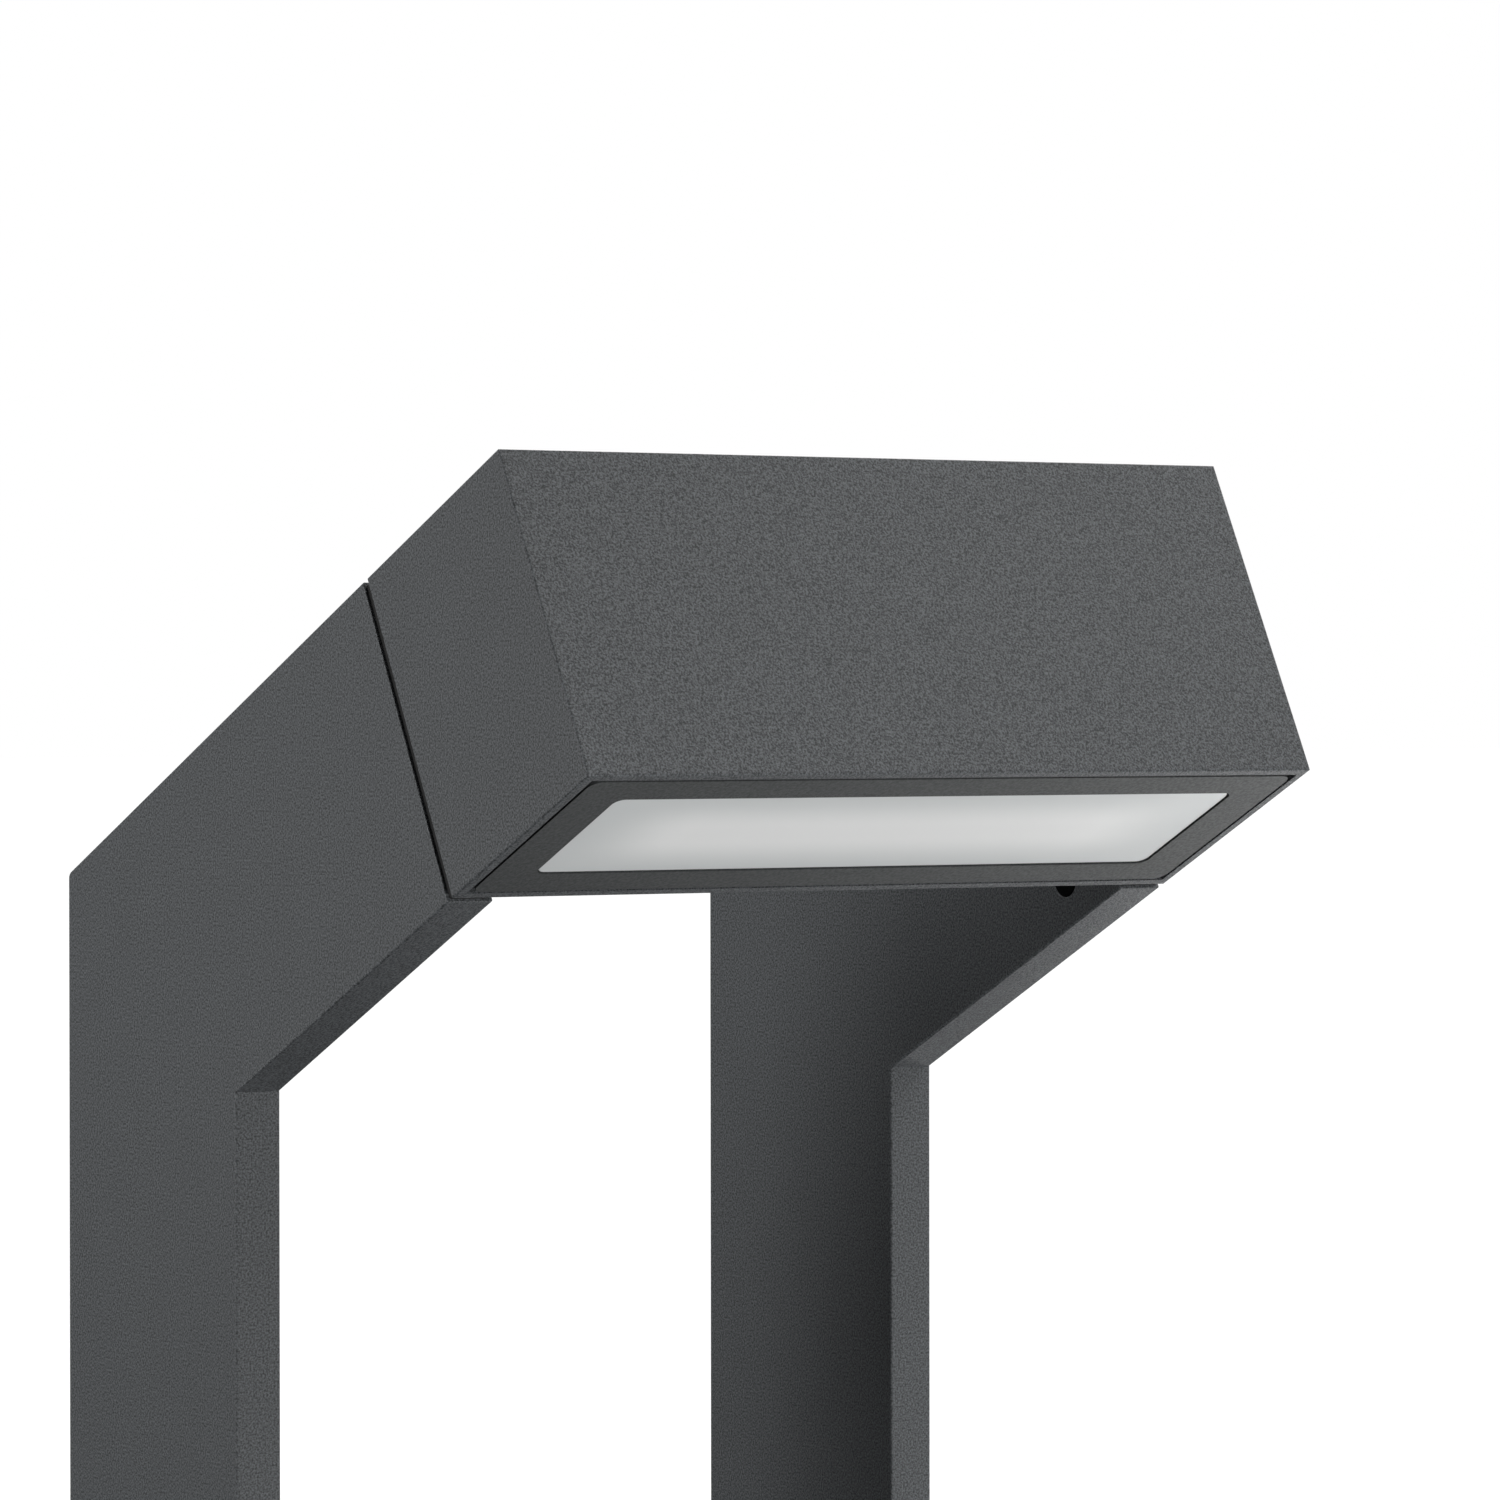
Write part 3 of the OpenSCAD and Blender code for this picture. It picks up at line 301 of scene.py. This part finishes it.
def opal(name):
    """Opal acrylic, satin outside: a milky white that scatters the light, with painted shade darkening it
    near its rim, where the cavity behind it is dim.
    """
    material, tree, place = new_material(name)
    flat = add(tree, "ShaderNodeMapping", {
        "Vector": place, "Location": head_place(0, -HEAD_L / 2, 0), "Rotation": (ARM_TILT, 0, 0)})
    split = add(tree, "ShaderNodeSeparateXYZ", {"Vector": flat.outputs["Vector"]})
    across = rim_shade_fade(tree, split.outputs["X"], WINDOW_W / 2, END_SHADE_FADE)
    along = rim_shade_fade(tree, split.outputs["Y"], WINDOW_L / 2, SIDE_SHADE_FADE)
    unshaded = add(tree, "ShaderNodeMath", {0: across, 1: along}, operation="MULTIPLY")
    # the darker colour is painted shade at the rim, the paler one the opal's own white
    tone = ramp(tree, unshaded.outputs[0], [(0.0, linear("#d8dbdb")), (1.0, linear("#f8f9f8"))])
    frost = add(tree, "ShaderNodeTexNoise", {"Vector": place, "Scale": per_metre(0.5), "Detail": 2.0})
    bump = add(tree, "ShaderNodeBump", {
        "Height": frost.outputs["Fac"], "Strength": 0.4, "Distance": 0.01 * MM})
    body = add(tree, "ShaderNodeBsdfPrincipled", {
        "Base Color": tone, "Roughness": 0.42, "IOR": 1.49, "Subsurface Weight": 0.35,
        "Subsurface Radius": (1, 1, 1), "Subsurface Scale": 2 * MM, "Normal": bump.outputs["Normal"]})
    return close(material, tree, body.outputs[0])


def head_place(x, y, z):
    """Shift that brings a point of the head's frame to the origin, once the mapping has turned it level."""
    level = Matrix.Rotation(ARM_TILT, 3, "X") @ head_point(x, y, z)
    return tuple(-level)


def rim_shade_fade(tree, coordinate, half, width):
    """Mask of the painted rim shade: 1 away from the rim, falling to 0 over this width at the rim."""
    away = add(tree, "ShaderNodeMath", {0: coordinate}, operation="ABSOLUTE")
    return add(tree, "ShaderNodeMapRange", {
        "Value": away.outputs[0], "From Min": half - width, "From Max": half,
        "To Min": 1.0, "To Max": 0.0}, interpolation_type="SMOOTHSTEP").outputs[0]


materials = {
    # a dull dark grey with fine lighter grains, partly their own tone and partly painted glints
    "anthracite_coat": coat("anthracite_powder_coat", "#2f3132", "#64676a", 0.5, 0.1, 0.62, 0.14),
    # on the cover frame: smoother, and a little darker, which is painted shade for its place on the head's
    # underside
    "frame_coat": coat("shaded_anthracite_frame_coat", "#353737", "#47494a", 0.8, 0.06, 0.66),
    # cast opal acrylic: milky and satin, with painted shade at its rim, so brightest in the middle
    "opal_glass": opal("opal_acrylic"),
    # moulded EPDM: nearly black and dull, so that the seams read as dark lines
    "black_rubber": rubber("black_epdm", "#0c0c0c", "#191919"),
    # moulded silicone: a dull off-white
    "white_silicone": rubber("white_silicone", "#cfcfc8", "#e2e2dc"),
    # sawn aluminium: light grey, with short fine lines from side to side
    "mill_aluminium": metal("sawn_aluminium", "#9a9da0", "#c4c7c9", 0.38, 3.0, (1, 12, 12)),
    # zinc-plated steel: a pale metal with a soft gloss
    "zinc_steel": metal("zinc_plated_steel", "#8d9093", "#b9bcbf", 0.35, 0.8),
    # blackened steel: nearly black, with a weak sheen
    "black_steel": metal("blackened_steel", "#101112", "#232426", 0.45, 0.6),
    # hot-dipped sheet: grey, with coarse spangles
    "galvanised_steel": metal("galvanised_sheet", "#84898c", "#a9adb0", 0.5, 9.0, bump_mm=0.02),
    # rolled spring strip: bright, with fine lines from side to side
    "spring_steel": metal("spring_steel_strip", "#a3a6a8", "#c9cbcd", 0.3, 1.5, (1, 10, 10)),
    # moulded polycarbonate: an even white, half matt
    "white_plastic": plastic("white_polycarbonate", "#dcdcd8", "#ececea", 0.5),
    # moulded polyamide: dark grey and matt
    "dark_plastic": plastic("dark_polyamide", "#292b2d", "#393b3d", 0.6),
    # moulded polyamide: a warm ivory with a half gloss
    "terminal_plastic": plastic("ivory_polyamide", "#d9d6c8", "#e9e7dc", 0.45),
    # printed solder mask: smooth and white, with a light gloss
    "board_white": plastic("white_solder_mask", "#dfe2de", "#eff1ee", 0.35, grain_mm=2.0),
    # cast silicone with phosphor: yellow, with a soft shine
    "led_phosphor": plastic("led_phosphor", "#e8c04a", "#f3d46a", 0.3, grain_mm=0.3),
    # turned brass: yellow, with a soft gloss
    "brass_metal": metal("turned_brass", "#b08a3e", "#d0ab5c", 0.32, 0.7),
    # extruded rubber sheath: black and dull
    "cable_jacket": rubber("rubber_cable_jacket", "#0f0f10", "#1b1b1c"),
    # extruded insulation: brown, half gloss
    "core_insulation": plastic("brown_core_insulation", "#6b3f27", "#7d4c30", 0.45),
    # extruded insulation: black, half gloss
    "lead_insulation": plastic("black_lead_insulation", "#151515", "#202020", 0.45),
    # extruded insulation: green, half gloss
    "earth_insulation": plastic("green_earth_insulation", "#5d9330", "#72a83c", 0.45),
}

# ---------- shared mesh helpers ----------

SMOOTH_ANGLE = math.radians(35)


def link(mesh, name):
    """An object of this name in the scene, made of the mesh."""
    made = bpy.data.objects.new(name, mesh)
    scene.collection.objects.link(made)
    return made


def object_from(bm, name):
    """An object made of the bmesh, with its faces turned outwards. The bmesh is freed."""
    mesh = bpy.data.meshes.new(name)
    bmesh.ops.recalc_face_normals(bm, faces=bm.faces)
    bm.to_mesh(mesh)
    bm.free()
    return link(mesh, name)


def baked(source, name, smooth=SMOOTH_ANGLE):
    """A plain mesh object of what the source's modifiers make, shaded smooth below the angle."""
    graph = bpy.context.evaluated_depsgraph_get()
    mesh = bpy.data.meshes.new_from_object(source.evaluated_get(graph))
    mesh.name = name
    mesh.transform(source.matrix_world)
    bpy.data.objects.remove(source)
    mesh.shade_smooth()
    mesh.set_sharp_from_angle(angle=smooth)
    return link(mesh, name)


def flat_faces_kept(piece):
    """Leaves flat faces evenly shaded up to their rounded edges."""
    weighted = piece.modifiers.new("even_flats", "WEIGHTED_NORMAL")
    weighted.keep_sharp = True
    weighted.weight = 100
    name = piece.name
    piece.name = name + "_draft"
    graph = bpy.context.evaluated_depsgraph_get()
    mesh = bpy.data.meshes.new_from_object(piece.evaluated_get(graph))
    bpy.data.objects.remove(piece)
    mesh.name = name
    return link(mesh, name)


def cut_away(piece, tools):
    """Takes every tool's solid out of the piece. The tools are removed."""
    for tool in tools:
        cut = piece.modifiers.new("cut", "BOOLEAN")
        cut.operation = "DIFFERENCE"
        cut.solver = "EXACT"
        cut.object = tool
    made = baked(piece, piece.name)
    for tool in tools:
        bpy.data.objects.remove(tool)
    return made


def prism(points, low_x, high_x):
    """Solid between two copies of a side outline given as (y, z) points. Returns the bmesh and its rings."""
    bm = bmesh.new()
    left = [bm.verts.new((low_x, y, z)) for y, z in points]
    right = [bm.verts.new((high_x, y, z)) for y, z in points]
    bm.faces.new(left)
    bm.faces.new(list(reversed(right)))
    for i, vert in enumerate(left):
        j = (i + 1) % len(left)
        bm.faces.new((left[j], vert, right[i], right[j]))
    return bm, left, right


def turned(profile, matrix, name, sides=48):
    """Solid of revolution from (radius, height) points, about the matrix's z axis."""
    bm = bmesh.new()
    rings = []
    for radius, height in profile:
        ring = []
        for i in range(sides if radius > 0 else 1):
            a = 2 * math.pi * i / sides
            ring.append(bm.verts.new(matrix @ Vector((radius * math.cos(a), radius * math.sin(a), height))))
        rings.append(ring)
    for low, high in zip(rings, rings[1:]):
        for i in range(sides):
            j = (i + 1) % sides
            corners = [low[i % len(low)], low[j % len(low)], high[j % len(high)], high[i % len(high)]]
            bm.faces.new(list(dict.fromkeys(corners)))
    for ring in (rings[0], rings[-1]):
        if len(ring) > 1:
            bm.faces.new(ring)
    return object_from(bm, name)


def finish_piece(piece, slot, *nodes):
    piece.data.materials.clear()
    piece.data.materials.append(materials[slot])
    if nodes:
        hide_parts(*nodes)
    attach(piece, "root")
    return piece


def dress_cad_nodes():
    """Gives every CAD node the material of its slot in the record."""
    slots = {row["node"]: row["material_slot"] for row in frame["record"]["subparts"]}
    for name, piece in frame["nodes"].items():
        for i in range(len(piece.material_slots)):
            piece.material_slots[i].material = materials[slots[name]]


# ---------- legs ----------

LEG_WALL = 2 * MM
BEND_R = 2 * MM
LOCK_IN = 11.2 * MM
LOCK_UP = 18.5 * MM
LOCK_D = 4 * MM
LOCK_HEAD_D = 8.4 * MM
SLIP = 0.3 * MM
MITRE = (math.pi / 2 - ARM_TILT) / 2


def leg_outline(inset, past, outer_r):
    """Side outline of a leg, drawn in by inset and run past both ends, as (y, z) points."""
    front_y = REAR_Y - LEG_D + inset
    rear_y = REAR_Y - inset
    points = [
        (rear_y, LEG_BOTTOM - past),
        (front_y, LEG_BOTTOM - past),
        (front_y, BEND_Z - (LEG_D - inset) * math.tan(MITRE)),
    ]
    for z in (inset - LEG_D, -inset):
        end = arm_point(0, -ARM_L - past, z)
        points.append((end.y, end.z))
    turn = math.pi / 2 - ARM_TILT
    steps = 8
    for i in range(steps, -1, -1):
        a = turn * i / steps
        centre_z = BEND_Z - (inset + outer_r) * math.tan(MITRE)
        points.append((rear_y - outer_r + outer_r * math.cos(a), centre_z + outer_r * math.sin(a)))
    return points


def leg_shell(side, name):
    """The extruded profile's outside: long edges rounded, sawn ends only broken."""
    low = leg_low.x if side < 0 else -leg_high.x
    bm, left, right = prism(leg_outline(0, 0, BEND_R), low, low + LEG_T)
    weight = bm.edges.layers.float.new("bevel_weight_edge")
    ends = {0: 1, 3: 4}
    for ring in (left, right):
        for i, vert in enumerate(ring):
            edge = bm.edges.get((vert, ring[(i + 1) % len(ring)]))
            edge[weight] = 0.5 if i in ends else 1.0
    for i, j in ends.items():
        for k in (i, j):
            bm.edges.get((left[k], right[k]))[weight] = 0.5
    shell = object_from(bm, name)
    bevel = shell.modifiers.new("rounded_edges", "BEVEL")
    bevel.limit_method = "WEIGHT"
    bevel.width = EDGE_R
    bevel.segments = 5
    bevel.use_clamp_overlap = True
    return shell


def lock_places(side):
    """Matrices at a leg's four lock screws, z out of its inner face."""
    inner_x = side * (HALF_W - LEG_T)
    outward = Matrix.Rotation(-side * math.pi / 2, 4, "Y")
    places = []
    for y in (REAR_Y - LEG_D + LOCK_IN, REAR_Y - LOCK_IN):
        places.append(Matrix.Translation((inner_x, y, LEG_BOTTOM + LOCK_UP)) @ outward)
    for z in (LOCK_IN, LEG_D - LOCK_IN):
        places.append(Matrix.Translation(head_point(inner_x, SEAM + LOCK_UP, z)) @ outward)
    return places


def countersink(matrix, name):
    """Tool that cuts a lock screw's hole and countersink."""
    hole = LOCK_D / 2 + SLIP
    mouth = LOCK_HEAD_D / 2 + SLIP
    depth = LEG_WALL + 1 * MM
    return turned(
        [(hole, -depth), (hole, hole - mouth), (mouth, 0), (mouth + 0.15 * MM, 0.4 * MM)], matrix, name)


def make_leg(side, node):
    """Hollow leg: the shell, less its cavity and its screws' holes."""
    shell = baked(leg_shell(side, node + "_shell"), node + "_solid")
    low = (leg_low.x if side < 0 else -leg_high.x) + LEG_WALL
    bm, _, _ = prism(leg_outline(LEG_WALL, 1 * MM, 0.5 * MM), low, low + LEG_T - 2 * LEG_WALL)
    cavity = object_from(bm, node + "_cavity")
    holes = [countersink(m, f"{node}_hole_{i}") for i, m in enumerate(lock_places(side))]
    leg = cut_away(shell, [cavity] + holes)
    leg.name = leg.data.name = node + "_profile"
    return finish_piece(flat_faces_kept(leg), "anthracite_coat", node)


# ---------- castings, cover frame and diffuser with eased edges ----------


def eased(node, name, width, segments=3):
    """Merged copy of a CAD node whose sharp edges are broken by a small radius."""
    bm = bmesh.new()
    bm.from_mesh(frame["nodes"][node].data)
    bmesh.ops.remove_doubles(bm, verts=bm.verts, dist=0.002 * MM)
    bmesh.ops.dissolve_limit(
        bm, angle_limit=math.radians(0.3), verts=bm.verts, edges=bm.edges, delimit={"NORMAL"})
    copy = object_from(bm, name + "_sharp")
    bevel = copy.modifiers.new("eased_edges", "BEVEL")
    bevel.limit_method = "ANGLE"
    bevel.angle_limit = math.radians(40)
    bevel.width = width
    bevel.segments = segments
    bevel.use_clamp_overlap = True
    return flat_faces_kept(baked(copy, name))


def make_castings():
    """The pieces whose CAD shape stays, with their edges broken."""
    for node, name, width, slot in (
        ("head_housing", "head_casting", 0.25 * MM, "anthracite_coat"),
        ("foot_housing", "foot_casting", 0.3 * MM, "anthracite_coat"),
        ("cover_frame", "cover_frame_casting", 0.3 * MM, "frame_coat"),
        ("diffuser", "opal_diffuser", 0.3 * MM, "opal_glass"),
        ("mounting_plate", "folded_mounting_plate", 0.3 * MM, "galvanised_steel"),
    ):
        finish_piece(eased(node, name, width), slot, node)


# ---------- screws that show ----------

FOOT_SCREW_Y = 45 * MM
FOOT_SCREW_Z = 12 * MM
FRAME_SCREW_IN = 40 * MM
FRAME_SCREW_Z = 4 * MM
FRAME_SCREW_HEAD_D = 5.5 * MM
FRAME_SCREW_D = 3 * MM
FRAME_SCREW_L = 6 * MM
FOOT_SCREW_L = 9 * MM
LOCK_SCREW_L = 8 * MM
RIM_H = 0.25 * MM
KEY_H = 4 * MM
KEY_MIDDLE = 0.6 * MM


def size_inputs(tree, names):
    """Named inputs for a tree's sizes, after its geometry."""
    tree.interface.new_socket("Geometry", in_out="INPUT", socket_type="NodeSocketGeometry")
    for name in names:
        tree.interface.new_socket(name, in_out="INPUT", socket_type="NodeSocketFloat")
    tree.interface.new_socket("Geometry", in_out="OUTPUT", socket_type="NodeSocketGeometry")
    return add(tree, "NodeGroupInput").outputs


def sum_of(tree, first, second, operation="ADD"):
    """Result of a sum, or of another operation, on two values."""
    return add(tree, "ShaderNodeMath", {0: first, 1: second}, operation=operation).outputs[0]


def raised(tree, shape, height):
    """Moves a shape along z."""
    shift = add(tree, "ShaderNodeCombineXYZ", {"Z": height}).outputs[0]
    return add(tree, "GeometryNodeTransform", {"Geometry": shape, "Translation": shift}).outputs[0]


def socket_screw_tree(material):
    """Sets a countersunk screw with a hexagon socket at every point, turned as the point says."""
    tree = bpy.data.node_groups.new("countersunk_socket_screws", "GeometryNodeTree")
    given = size_inputs(tree, ["Head radius", "Shank radius", "Length", "Socket radius"])
    head, shank, length, socket = (
        given[n] for n in ("Head radius", "Shank radius", "Length", "Socket radius"))
    cone_h = sum_of(tree, head, shank, "SUBTRACT")
    cone = add(tree, "GeometryNodeMeshCone", {
        "Vertices": 48, "Radius Top": head, "Radius Bottom": shank, "Depth": cone_h}).outputs["Mesh"]
    cone = raised(tree, cone, sum_of(tree, sum_of(tree, cone_h, -1.0, "MULTIPLY"), -RIM_H))
    rim = add(tree, "GeometryNodeMeshCone", {
        "Vertices": 48, "Radius Top": sum_of(tree, head, -RIM_H), "Radius Bottom": head,
        "Depth": RIM_H}).outputs["Mesh"]
    rim = raised(tree, rim, -RIM_H)
    rod_h = sum_of(tree, length, cone_h, "SUBTRACT")
    rod = add(tree, "GeometryNodeMeshCylinder", {
        "Vertices": 32, "Radius": shank, "Depth": rod_h}).outputs["Mesh"]
    middle = sum_of(tree, sum_of(tree, length, cone_h), -0.5, "MULTIPLY")
    rod = raised(tree, rod, middle)
    key = add(tree, "GeometryNodeMeshCylinder", {
        "Vertices": 6, "Radius": socket, "Depth": KEY_H}).outputs["Mesh"]
    key = raised(tree, key, KEY_MIDDLE)
    body = add(tree, "GeometryNodeMeshBoolean", operation="UNION")
    for part in (cone, rim, rod):
        tree.links.new(part, body.inputs["Mesh 2"])
    screw = add(tree, "GeometryNodeMeshBoolean", {
        "Mesh 1": body.outputs["Mesh"], "Mesh 2": key}, operation="DIFFERENCE")
    turn = add(tree, "GeometryNodeInputNamedAttribute", {"Name": "turn"}, data_type="FLOAT_VECTOR")
    facing = add(tree, "FunctionNodeEulerToRotation", {"Euler": turn.outputs["Attribute"]})
    placed = add(tree, "GeometryNodeInstanceOnPoints", {
        "Points": given["Geometry"], "Instance": screw.outputs["Mesh"],
        "Rotation": facing.outputs["Rotation"]})
    real = add(tree, "GeometryNodeRealizeInstances", {"Geometry": placed.outputs[0]})
    coated = add(tree, "GeometryNodeSetMaterial", {"Geometry": real.outputs[0], "Material": material})
    add(tree, "NodeGroupOutput", {"Geometry": coated.outputs[0]})
    return tree


def repeated(tree, places, sizes, name):
    """Runs a tree on one point per place, and returns the plain mesh that it makes."""
    mesh = bpy.data.meshes.new(name + "_places")
    mesh.from_pydata([place.translation for place in places], [], [])
    turn = mesh.attributes.new("turn", "FLOAT_VECTOR", "POINT")
    for i, place in enumerate(places):
        turn.data[i].vector = place.to_euler()
    source = link(mesh, name + "_places")
    modifier = source.modifiers.new("repeat", "NODES")
    modifier.node_group = tree
    for label, value in sizes.items():
        modifier[tree.interface.items_tree[label].identifier] = value
    return baked(source, name)


def screw_sizes(head_d, shank_d, length):
    """The screw tree's inputs for one size of screw."""
    return {
        "Head radius": head_d / 2, "Shank radius": shank_d / 2,
        "Length": length, "Socket radius": shank_d * 0.35}


def make_screws(places, sizes, slot, name, *nodes):
    """One piece with a screw at each place."""
    tree = socket_screw_tree(materials[slot])
    finish_piece(repeated(tree, places, sizes, name), slot, *nodes)


def make_lock_screws():
    """The legs' lock screws: four near the head, four near the foot."""
    sizes = screw_sizes(LOCK_HEAD_D, LOCK_D, LOCK_SCREW_L)
    for end, node in ((slice(2, 4), "head_lock_screws"), (slice(0, 2), "foot_lock_screws")):
        places = lock_places(-1)[end] + lock_places(1)[end]
        make_screws(places, sizes, "black_steel", node + "_cut", node)


def make_foot_screws():
    """Two screws in each end of the foot."""
    places = []
    for side in (-1, 1):
        for y in (-FOOT_SCREW_Y, FOOT_SCREW_Y):
            out = Matrix.Rotation(side * math.pi / 2, 4, "Y")
            places.append(Matrix.Translation((side * HALF_W, y, FOOT_SCREW_Z)) @ out)
    sizes = screw_sizes(LOCK_HEAD_D, LOCK_D, FOOT_SCREW_L)
    make_screws(places, sizes, "black_steel", "foot_side_screws", "foot_screws")


def make_frame_screws():
    """Two screws through the head's rear wall into the cover frame."""
    places = []
    for x in (-HALF_W + FRAME_SCREW_IN, HALF_W - FRAME_SCREW_IN):
        back = HEAD_MATRIX @ Matrix.Rotation(-math.pi / 2, 4, "X")
        places.append(Matrix.Translation(head_point(x, 0, FRAME_SCREW_Z)) @ back.to_3x3().to_4x4())
    sizes = screw_sizes(FRAME_SCREW_HEAD_D, FRAME_SCREW_D, FRAME_SCREW_L)
    make_screws(places, sizes, "zinc_steel", "frame_rear_screws", "frame_screws")


def make_floor():
    """A very wide pale floor, so that its far edge is lost in the equally pale air."""
    bm = bmesh.new()
    bmesh.ops.create_grid(bm, x_segments=2, y_segments=2, size=60)
    bmesh.ops.translate(bm, verts=bm.verts, vec=(0, 0, cad_box[0].z - 0.2 * MM))
    floor = object_from(bm, "floor")
    material, tree, place = new_material("pale_studio_floor")
    grains = add(tree, "ShaderNodeTexNoise", {"Vector": place, "Scale": 3.0})
    tone = ramp(tree, grains.outputs["Fac"], [(0.3, linear("#f4f4f4")), (0.7, linear("#f6f6f6"))])
    face = add(tree, "ShaderNodeBsdfDiffuse", {"Color": tone})
    floor.data.materials.append(close(material, tree, face.outputs[0]))
    floor.visible_diffuse = False
    floor.visible_glossy = False
    return floor


# ---------- building ----------

make_camera()
make_world()
make_softboxes()
make_floor_light(make_floor())
scene.view_settings.view_transform = "Standard"
dress_cad_nodes()
for side, node in ((-1, "left_leg"), (1, "right_leg")):
    make_leg(side, node)
make_castings()
make_lock_screws()
make_foot_screws()
make_frame_screws()
